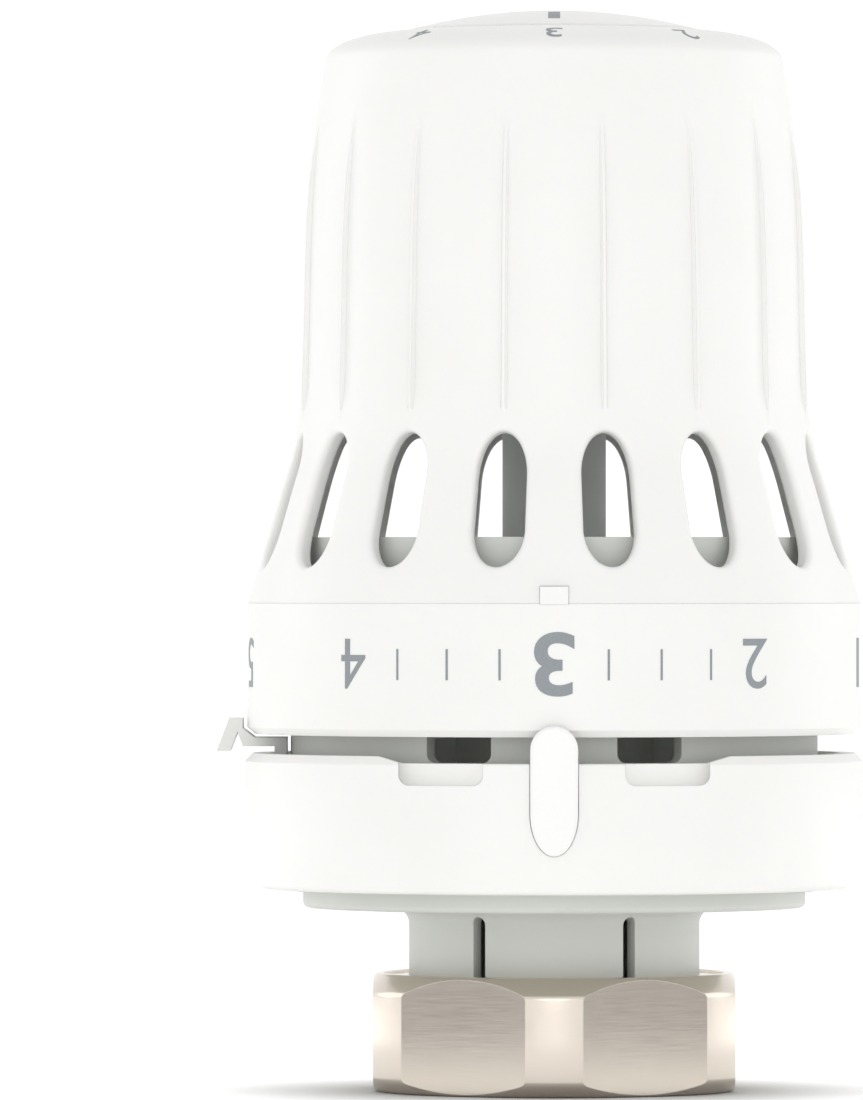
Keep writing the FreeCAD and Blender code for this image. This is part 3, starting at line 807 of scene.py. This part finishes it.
    def cap_wall(self) -> Object:
        """Model the cap's wall from its wrapped sectors.

        Returns:
            The closed wall, with the notch for the scale ring's key.
        """
        curve = self.outline()
        middle = (self.slot_low + self.slot_high) / 2
        reference_r = curve.at(curve.length_at_height(self.parting_z + middle))[0]
        width = 2 * math.pi / self.sectors * reference_r
        plate = self.sheet(curve, reference_r)
        self.grid(plate, curve, width)
        self.open_seams(plate, width)
        self.wrap(plate, curve, reference_r)
        step = 2 * math.pi / self.sectors
        sectors = [own_copy(plate, f"cap_sector_{i}", (i + 0.5) * step) for i in range(self.sectors)]
        bpy.data.objects.remove(plate, do_unlink=True)
        cap = join(sectors, "cap_shell")
        notch = block("key_notch", (self.key_width, 4 * MM, 2 * self.key_height),
                      (0, -self.foot_r, self.parting_z))
        cut(cap, notch)
        round_edges(cap, 34)
        return cap

    def skirt(self) -> Object:
        """Turn the bearing skirt, with the web that carries the cap's foot.

        Returns:
            The skirt, inside the scale ring.
        """
        outer = self.foot_r - self.wall - 0.12 * MM
        seam = self.parting_z + 0.02 * MM
        top = self.parting_z + self.web_t
        soft = 0.2 * MM
        skirt = lathe("cap_skirt", rounded([
            (self.skirt_inner_r, self.skirt_z, soft), (self.skirt_outer_r, self.skirt_z, soft),
            (self.skirt_outer_r, seam, 0), (outer, seam, 0),
            (outer - 0.3 * MM, top, soft), (self.skirt_inner_r, top, soft)], 3))
        round_edges(skirt)
        return skirt

    def build(self, white: Material) -> None:
        """Model the cap's pieces and attach them.

        Args:
            white: Material of the cap.
        """
        finish_piece(self.cap_wall(), white, Body.HANDWHEEL, "handwheel_cap")
        finish_piece(self.skirt(), white, Body.HANDWHEEL, "handwheel_cap")


# ---- Prints -----------------------------------------------------------------------------------
@dataclass
class RingPrint:
    """Digits and ticks printed on the scale ring, heads down, and the digits on the dome."""

    ring_r: float = 27.25 * MM
    film: float = 0.03 * MM
    digit_gap: float = 40.0
    one_share: float = 0.45
    big_weight: float = 0.10 * MM
    big_height: float = 5.6 * MM
    big_width: float = 3.5 * MM
    small_height: float = 4.35 * MM
    small_width: float = 2.75 * MM
    middle_z: float = 38.05 * MM
    slice_width: float = 0.35 * MM
    tick_width: float = 0.2 * MM
    tick_height: float = 2.7 * MM
    tick_z: float = 38.0 * MM
    tick_azimuths: tuple[float, ...] = (-30, -20, -10, 10, 20, 30)
    dome_digit_r: float = 18.1 * MM
    dome_digit_height: float = 2.4 * MM
    dome_digit_width: float = 1.45 * MM
    mark_width: float = 1.05 * MM
    mark_length: float = 4.5 * MM
    mark_r: float = 8.3 * MM
    mark_slices: int = 10
    surface: Callable[[float], float] = HandwheelCap().height_at

    def glyph(self, digit: str, width: float, height: float, weight: float) -> Object:
        """Model one digit as a thin flat plate in the XZ plane.

        Args:
            digit: What is printed.
            width: Its full width.
            height: Its full height.
            weight: Extra stroke width on each side.

        Returns:
            Mesh centred on the origin, facing -Y, head up.
        """
        bpy.ops.object.text_add(rotation=(math.pi / 2, 0, 0))
        text = bpy.context.object
        text.data.body = digit
        text.data.size = height
        text.data.offset = weight
        text.data.extrude = self.film
        text.data.resolution_u = 8
        only(text)
        bpy.ops.object.convert(target="MESH")
        glyph = bpy.context.object
        fix_place(glyph)
        xs = [v.co.x for v in glyph.data.vertices]
        zs = [v.co.z for v in glyph.data.vertices]
        centre = Vector(((min(xs) + max(xs)) / 2, 0, (min(zs) + max(zs)) / 2))
        shape = Matrix.Diagonal((width / (max(xs) - min(xs)), 1, height / (max(zs) - min(zs)), 1))
        glyph.data.transform(shape @ Matrix.Translation(-centre))
        weld(glyph, 0.001 * MM, outward=False)
        self.slice(glyph, width, max(int(width / self.slice_width), 2), Vector((1, 0, 0)))
        return glyph

    def slice(self, flat: Object, length: float, count: int, way: Vector) -> None:
        """Slice a flat print evenly so that it can follow a curve.

        Args:
            flat: Print centred on the origin.
            length: Its length in the direction of the slices.
            count: Number of slices.
            way: Direction in which they follow each other.
        """
        pick(flat, lambda p: True)
        for k in range(1, count):
            bpy.ops.mesh.select_all(action="SELECT")
            bpy.ops.mesh.bisect(plane_co=way * (k / count - 0.5) * length, plane_no=way)
        leave()

    def wrap(self, flat: Object, azimuth: float, z: float, upside_down: bool) -> Object:
        """Bend a flat print onto the ring.

        Args:
            flat: Print centred on the origin.
            azimuth: Degrees from the front, positive to the right.
            z: Height of its middle.
            upside_down: Whether its head points down.

        Returns:
            The same object, in place.
        """
        way = -1 if upside_down else 1
        for vertex in flat.data.vertices:
            x, y, height = vertex.co
            angle = FRONT + math.radians(azimuth) + way * x / self.ring_r
            reach = self.ring_r - y
            vertex.co = (reach * math.cos(angle), reach * math.sin(angle), z + way * height)
        flat.data.update()
        return flat

    def tick(self) -> Object:
        """Model one tick.

        Returns:
            Thin flat bar centred on the origin.
        """
        bar = block("tick", (self.tick_width, 2 * self.film, self.tick_height))
        pick(bar, lambda p: True)
        bpy.ops.mesh.subdivide(number_cuts=1)
        leave()
        return bar

    def mark(self) -> Object:
        """Model the bar above the 3 on the dome.

        Returns:
            Flat bar, as far above the origin as it lies inside the digits.
        """
        bar = block("mark", (self.mark_width, 2 * self.film, self.mark_length))
        self.slice(bar, self.mark_length, self.mark_slices, Vector((0, 0, 1)))
        bar.data.transform(Matrix.Translation((0, 0, self.mark_r - self.dome_digit_r)))
        return bar

    def ring_print(self) -> Object:
        """Model the scale round the ring.

        Returns:
            Digits and ticks as one mesh.
        """
        prints = []
        for step, digit in ((-2, "5"), (-1, "4"), (0, "3"), (1, "2"), (2, "1"), (3, "0")):
            big = step == 0
            width = self.big_width if big else self.small_width
            height = self.big_height if big else self.small_height
            glyph = self.glyph(digit, width * (self.one_share if digit == "1" else 1), height,
                               self.big_weight if big else 0.0)
            prints.append(self.wrap(glyph, step * self.digit_gap, self.middle_z, True))
        for azimuth in self.tick_azimuths:
            prints.append(self.wrap(self.tick(), azimuth, self.tick_z, False))
        return join(prints, "ring_print")

    def dome_print(self) -> Object:
        """Model the digits and the mark on the dome.

        Returns:
            Digits and mark as one mesh.
        """
        dome = []
        for step, digit in ((-1, "4"), (0, "3"), (1, "2")):
            glyph = self.glyph(digit, self.dome_digit_width, self.dome_digit_height, 0.0)
            dome.append(self.lay(glyph, step * self.digit_gap))
        dome.append(self.lay(self.mark(), 0.0))
        return join(dome, "dome_print")

    def build(self, ink: Material) -> None:
        """Print the ring and the dome.

        Args:
            ink: Material of the print.
        """
        finish_piece(self.ring_print(), ink, Body.HANDWHEEL)
        finish_piece(self.dome_print(), ink, Body.HANDWHEEL)

    def lay(self, flat: Object, azimuth: float) -> Object:
        """Lay a flat print on the dome, head outward.

        Args:
            flat: Print centred on the origin.
            azimuth: Degrees from the front.

        Returns:
            The same object, in place.
        """
        for vertex in flat.data.vertices:
            x, y, height = vertex.co
            reach = self.dome_digit_r + height
            angle = FRONT + math.radians(azimuth) - x / reach
            vertex.co = (reach * math.cos(angle), reach * math.sin(angle),
                         self.surface(reach) - y)
        flat.data.update()
        return flat


# ---- Union nut --------------------------------------------------------------------------------
@dataclass
class UnionNut:
    """Hexagon union nut with turned corners, chamfers and its M30 x 1.5 thread."""

    flat_r: float = 16.0 * MM
    corner_r: float = 17.195 * MM
    height: float = 10.5 * MM
    chamfer_r: float = 1.4 * MM
    chamfer_z: float = 1.65 * MM
    chamfer_low_z: float = 1.1 * MM
    major_r: float = 15.0 * MM
    minor_r: float = 14.19 * MM
    pitch: float = 1.5 * MM
    thread_length: float = 7.2 * MM
    pocket_r: float = 14.6 * MM
    flange_z: float = 9.0 * MM
    flange_r: float = 13.1 * MM
    recess_r: float = 15.1 * MM
    recess_depth: float = 0.25 * MM
    lead_in: float = 0.35 * MM
    thread_start: float = 0.45 * MM
    bedded: float = 0.06 * MM
    hex_edge: float = 0.4 * MM

    def blank(self) -> Object:
        """Turn the blank, bored to the thread's major diameter, and mill its hexagon.

        Returns:
            The nut without its thread.
        """
        edge = self.corner_r - self.chamfer_r
        top, shelf = self.height, self.height - self.recess_depth
        body = lathe("union_nut_body", rounded([
            (self.major_r + self.lead_in, 0, 0), (edge, 0, 0.25 * MM),
            (self.corner_r, self.chamfer_low_z, 0.3 * MM),
            (self.corner_r, top - self.chamfer_z, 0.3 * MM), (edge, top, 0.25 * MM),
            (self.recess_r, top, 0.1 * MM), (self.recess_r, shelf, 0),
            (self.flange_r, shelf, 0.15 * MM), (self.flange_r, self.flange_z, 0.15 * MM),
            (self.pocket_r, self.flange_z, 0), (self.pocket_r, self.thread_length, 0),
            (self.major_r, self.thread_length, 0), (self.major_r, self.lead_in, 0)], 4), 180)
        bpy.ops.mesh.primitive_cylinder_add(
            vertices=6, radius=self.flat_r / math.cos(math.pi / 6), depth=3 * self.height,
            location=(0, 0, self.height / 2))
        hexagon = bpy.context.object
        fix_place(hexagon)
        apply_modifier(hexagon, "BEVEL", width=self.hex_edge, segments=3)
        cut(body, hexagon, "INTERSECT")
        round_edges(body, 20)
        return body

    def thread(self) -> Object:
        """Model the helical ridge of the internal thread.

        Returns:
            The closed ridge, bedded a little in the bore's wall.
        """
        bpy.ops.mesh.primitive_circle_add(vertices=4, radius=self.pitch / 2, location=(0, 0, 0))
        ridge = bpy.context.object
        ridge.name = "union_nut_thread"
        deep, shallow = self.major_r + self.bedded, self.minor_r
        root, crest = 0.48 * self.pitch, 0.125 * self.pitch
        first = self.thread_start + root
        corners = [(deep, -root), (shallow, -crest), (shallow, crest), (deep, root)]
        for vertex, (r, z) in zip(ridge.data.vertices, corners):
            vertex.co = (0, -r, first + z)
        turns = (self.thread_length - 2 * self.thread_start - 2 * root) / self.pitch
        apply_modifier(ridge, "SCREW", axis="Z", angle=2 * math.pi * turns,
                       screw_offset=self.pitch * turns, steps=int(72 * turns),
                       render_steps=int(72 * turns))
        weld(ridge, 0.002 * MM, outward=False)
        pick(ridge, lambda p: False)
        bpy.ops.mesh.select_non_manifold()
        bpy.ops.mesh.edge_face_add()
        bpy.ops.mesh.select_all(action="SELECT")
        bpy.ops.mesh.normals_make_consistent(inside=False)
        leave()
        round_edges(ridge, 40)
        return ridge

    def build(self, metal: Material) -> None:
        """Model the nut and attach it.

        Args:
            metal: Material of the nut.
        """
        finish_piece(self.blank(), metal, Body.NUT, "union_nut")
        finish_piece(self.thread(), metal, Body.NUT, "union_nut")


# ---- Carried-over pieces ----------------------------------------------------------------------
NODE_FINISHES = {
    "socket_body": GREY_NYLON, "base_shell": WHITE_ABS, "index_pointer": POLISHED_ABS,
    "scale_ring": WHITE_ABS, "top_disc": WHITE_ABS, "limiter_ring": ACETAL,
    "retaining_ring": SPRING_STEEL, "setting_spindle": PALE_ACETAL, "capsule_holder": DARK_ACETAL,
    "capsule_base": DRAWN_BRASS, "capsule_can": DRAWN_BRASS, "capsule_clamp": SPRING_STEEL,
    "fill_plug": DRAWN_BRASS, "bellows_cap": DRAWN_BRASS, "transmission_pin": GROUND_STEEL,
    "overtravel_sleeve": DARK_ACETAL, "sleeve_clip": SPRING_STEEL, "pusher": DARK_ACETAL,
}


@dataclass(frozen=True)
class ShorteningPiece:
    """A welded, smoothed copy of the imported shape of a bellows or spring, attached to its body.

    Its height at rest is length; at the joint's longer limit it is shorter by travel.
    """

    node: str
    body: Body
    slot: str
    joint: str
    anchor_z: float
    length: float
    travel: float

    def build(self, material: Material) -> None:
        """Copy the shape, weld and smooth it, and put it on its body in place of the imported piece.

        Args:
            material: Its material.
        """
        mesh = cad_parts[self.node].data.copy()
        piece = bpy.data.objects.new(f"{self.node}_visual", mesh)
        bpy.context.collection.objects.link(piece)
        weld(piece, 0.001 * MM)
        round_edges(piece)
        finish_piece(piece, material, self.body, self.node)
        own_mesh(piece)


BELLOWS = ShorteningPiece("bellows", Body.SETTING_UNIT, "bronze", "sensor_stroke",
                          anchor_z=64.4 * MM, length=18.5 * MM, travel=2.2 * MM)
SPRING = ShorteningPiece("overtravel_spring", Body.TRANSMISSION, "spring_steel", "overtravel",
                         anchor_z=39.2 * MM, length=11.8 * MM, travel=3.0 * MM)


def dress_nodes(materials: dict[str, Material]) -> None:
    """Give every carried-over CAD node its material.

    Args:
        materials: Built materials by name.
    """
    for node, finish in NODE_FINISHES.items():
        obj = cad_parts[node]
        slots = obj.material_slots
        if not slots:
            obj.data.materials.append(materials[finish.name])
        for slot in slots:
            slot.material = materials[finish.name]


# ---- Studio -----------------------------------------------------------------------------------
@dataclass(frozen=True)
class SoftLight:
    """A round soft box that points at the head's middle."""

    name: str
    azimuth: float
    distance: float
    height: float
    size: float
    energy: float

    def build(self, middle_z: float) -> None:
        """Place the light.

        Args:
            middle_z: Height that it points at.
        """
        angle = FRONT + math.radians(self.azimuth)
        spot = Vector((self.distance * math.cos(angle), self.distance * math.sin(angle), self.height))
        bpy.ops.object.light_add(type="AREA", location=spot)
        light = bpy.context.object
        light.name = self.name
        light.data.shape = "DISK"
        light.data.size = self.size
        light.data.energy = self.energy
        light.visible_camera = False
        toward = Vector((0, 0, middle_z)) - spot
        light.rotation_euler = toward.to_track_quat("-Z", "Y").to_euler()


@dataclass(frozen=True)
class FloorCard:
    """A card on the floor that the nut mirrors; the camera and diffuse light don't see it."""

    name: str
    azimuth: float
    distance: float
    width: float
    colour: str
    glow: float
    length: float = 0.5

    def build(self) -> None:
        """Lay the card down."""
        angle = FRONT + math.radians(self.azimuth)
        bpy.ops.mesh.primitive_plane_add(
            size=1, location=(self.distance * math.cos(angle), self.distance * math.sin(angle),
                              0.3 * MM), rotation=(0, 0, angle))
        card = bpy.context.object
        card.name = self.name
        card.scale = (self.length, self.width, 1)
        fix_place(card)
        material, tree = new_material(self.name)
        shader = add_node(tree, "ShaderNodeBsdfPrincipled", None,
                          {"Base Color": linear(self.colour), "Roughness": 0.95,
                           "Emission Color": (1, 1, 1, 1), "Emission Strength": self.glow})
        add_node(tree, "ShaderNodeOutputMaterial", None, {"Surface": shader.outputs["BSDF"]})
        dress(card, material)
        card.visible_camera = False
        card.visible_diffuse = False
        card.visible_shadow = False


@dataclass
class Studio:
    """Pale floor, soft lights and the camera."""

    distance: float = 1067 * MM
    eye_z: float = 45.8 * MM
    aim: tuple[float, float, float] = (-10.9 * MM, 0.0, 48.0 * MM)
    lens: float = 393.0
    sensor: float = 36.0
    floor_size: float = 40.0
    cloud_size: float = 1 / 3
    horizon: float = 1.13
    zenith: float = 0.76
    # Painted light on the floor: its glow starts at glow_from from the axis and is full at glow_to.
    glow_from: float = 17 * MM
    glow_to: float = 30 * MM
    glow: float = 0.5
    lights: tuple[SoftLight, ...] = (
        SoftLight("front_light", 0, 1.9, 0.45, 0.7, 0.9),
        SoftLight("left_rim_light", -118, 1.3, 0.42, 0.8, 0.8),
        SoftLight("right_rim_light", 118, 1.3, 0.42, 0.8, 0.8))
    cards: tuple[FloorCard, ...] = (
        FloorCard("grey_card_left", -60, 0.34, 0.42, "76767A", 0.0),
        FloorCard("grey_card_right", 60, 0.34, 0.42, "76767A", 0.0),
        FloorCard("bounce_card_front", 0, 0.34, 0.17, "E8E8E8", 1.0),
        FloorCard("bounce_card_left", -120, 0.34, 0.24, "E8E8E8", 1.0),
        FloorCard("bounce_card_right", 120, 0.34, 0.24, "E8E8E8", 1.0))

    def floor(self) -> None:
        """A pale floor under the head that glows as painted light; the glow fades out close to the
        axis, so the floor next to the nut stays darker.
        """
        bpy.ops.mesh.primitive_plane_add(size=self.floor_size, location=(0, 0, -0.02 * MM))
        floor = bpy.context.object
        floor.name = "floor"
        material, tree = new_material("pale_floor")
        place = add_node(tree, "ShaderNodeTexCoord").outputs["Object"]
        tone = two_tone(tree, noise(tree, place, self.cloud_size), "CFCFCE", "CBCBCA")
        reach = add_node(tree, "ShaderNodeVectorMath", {"operation": "LENGTH"}, {"0": place})
        # Painted light: the floor's own glow, none under the nut, rising to full strength a few
        # centimetres out.
        glow = add_node(tree, "ShaderNodeMapRange", None,
                        {"Value": reach.outputs["Value"], "From Min": self.glow_from,
                         "From Max": self.glow_to, "To Min": 0.0, "To Max": self.glow})
        shader = add_node(tree, "ShaderNodeBsdfPrincipled", None,
                          {"Base Color": tone, "Roughness": 0.9,
                           "Emission Color": (1, 1, 1, 1),
                           "Emission Strength": glow.outputs["Result"]})
        add_node(tree, "ShaderNodeOutputMaterial", None, {"Surface": shader.outputs["BSDF"]})
        dress(floor, material)

    def surround(self) -> None:
        """White all round, a little darker overhead so that the dome reads."""
        world = bpy.data.worlds.new("studio_surround")
        bpy.context.scene.world = world
        world.use_nodes = True
        tree = world.node_tree
        place = add_node(tree, "ShaderNodeTexCoord").outputs["Generated"]
        height = add_node(tree, "ShaderNodeSeparateXYZ", None, {"Vector": place})
        strength = add_node(tree, "ShaderNodeMapRange", None,
                            {"Value": height.outputs["Z"], "From Min": 0.1, "From Max": 0.9,
                             "To Min": self.horizon, "To Max": self.zenith})
        background = tree.nodes["Background"]
        background.inputs["Color"].default_value = (1, 1, 1, 1)
        tree.links.new(strength.outputs["Result"], background.inputs["Strength"])

    def camera(self) -> None:
        """Long-lens camera in front, level with the head's middle."""
        data = bpy.data.cameras.new("camera")
        data.sensor_fit = "VERTICAL"
        data.sensor_height = self.sensor
        data.lens = self.lens
        data.clip_start = 0.05
        data.clip_end = 60
        camera = bpy.data.objects.new("camera", data)
        bpy.context.collection.objects.link(camera)
        camera.location = (0, -self.distance, self.eye_z)
        toward = Vector(self.aim) - camera.location
        camera.rotation_euler = toward.to_track_quat("-Z", "Y").to_euler()
        bpy.context.scene.camera = camera

    def build(self) -> None:
        """Set the stage."""
        self.camera()
        self.floor()
        self.surround()
        for card in self.cards:
            card.build()
        for light in self.lights:
            light.build(self.eye_z)
        bpy.context.scene.view_settings.view_transform = "Standard"


def main() -> None:
    """Build every sub-assembly in order."""
    finishes = [WHITE_ABS, POLISHED_ABS, GREY_NYLON, ACETAL, DARK_ACETAL, PALE_ACETAL, NICKEL_BRASS,
                DRAWN_BRASS, BRONZE, GROUND_STEEL, SPRING_STEEL, GREY_INK]
    materials = {finish.name: finish.build() for finish in finishes}
    Studio().build()
    dress_nodes(materials)
    UnionNut().build(materials[NICKEL_BRASS.name])
    HandwheelCap().build(materials[WHITE_ABS.name])
    RingPrint().build(materials[GREY_INK.name])
    BELLOWS.build(materials[BRONZE.name])
    SPRING.build(materials[SPRING_STEEL.name])
    log.info("all pieces are in place")


if __name__ == "__main__":
    main()
